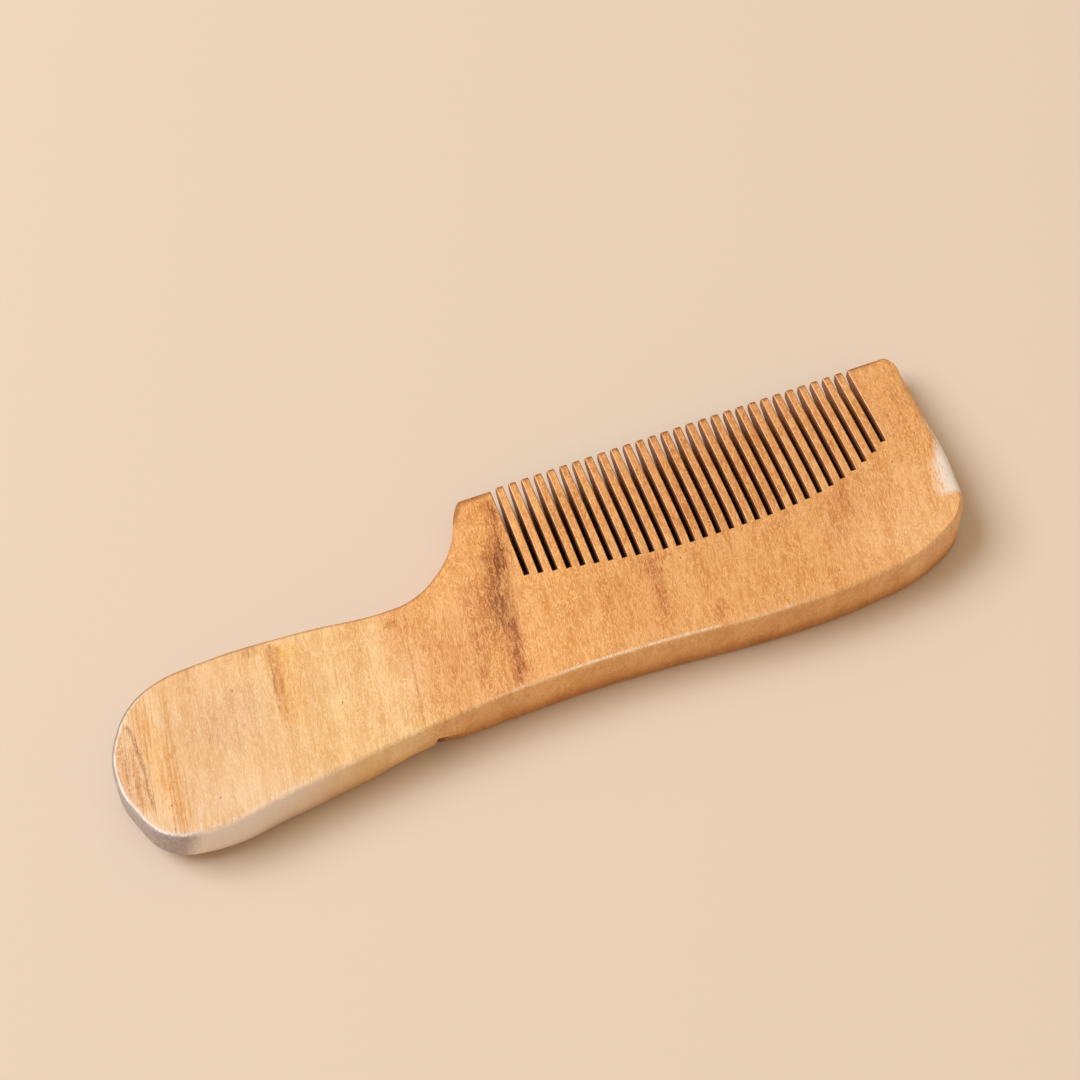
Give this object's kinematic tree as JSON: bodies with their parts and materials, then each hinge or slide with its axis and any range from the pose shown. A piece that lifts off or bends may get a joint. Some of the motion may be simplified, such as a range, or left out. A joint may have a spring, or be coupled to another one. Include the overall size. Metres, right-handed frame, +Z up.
{
  "type": "wooden comb",
  "caption": "Flat wooden comb with a rounded paddle handle, a broad curved back, wedge-tapered fine teeth and a wide guard tooth at each end of the row.",
  "frame": {"origin": "middle of the comb's length and width, on the lower flat face that it lies on", "axes": "+X along the comb from the handle's end to the heel, +Y the way the teeth point, +Z up out of the upper face"},
  "size_m": [0.1719, 0.0534, 0.0115],
  "materials": {
    "wood": "sanded bare peach wood with a light satin sheen, pale on the handle and warmer towards the teeth"
  },
  "bodies": {
    "root": {"handle": "wood", "back": "wood", "guard_tooth_inner": "wood", "guard_tooth_outer": "wood", "tooth_01": "wood", "tooth_02": "wood", "tooth_03": "wood", "tooth_04": "wood", "tooth_05": "wood", "tooth_06": "wood", "tooth_07": "wood", "tooth_08": "wood", "tooth_09": "wood", "tooth_10": "wood", "tooth_11": "wood", "tooth_12": "wood", "tooth_13": "wood", "tooth_14": "wood", "tooth_15": "wood", "tooth_16": "wood", "tooth_17": "wood", "tooth_18": "wood", "tooth_19": "wood", "tooth_20": "wood", "tooth_21": "wood", "tooth_22": "wood", "tooth_23": "wood", "tooth_24": "wood", "tooth_25": "wood", "tooth_26": "wood", "tooth_27": "wood", "tooth_28": "wood"}
  },
  "joints": []
}
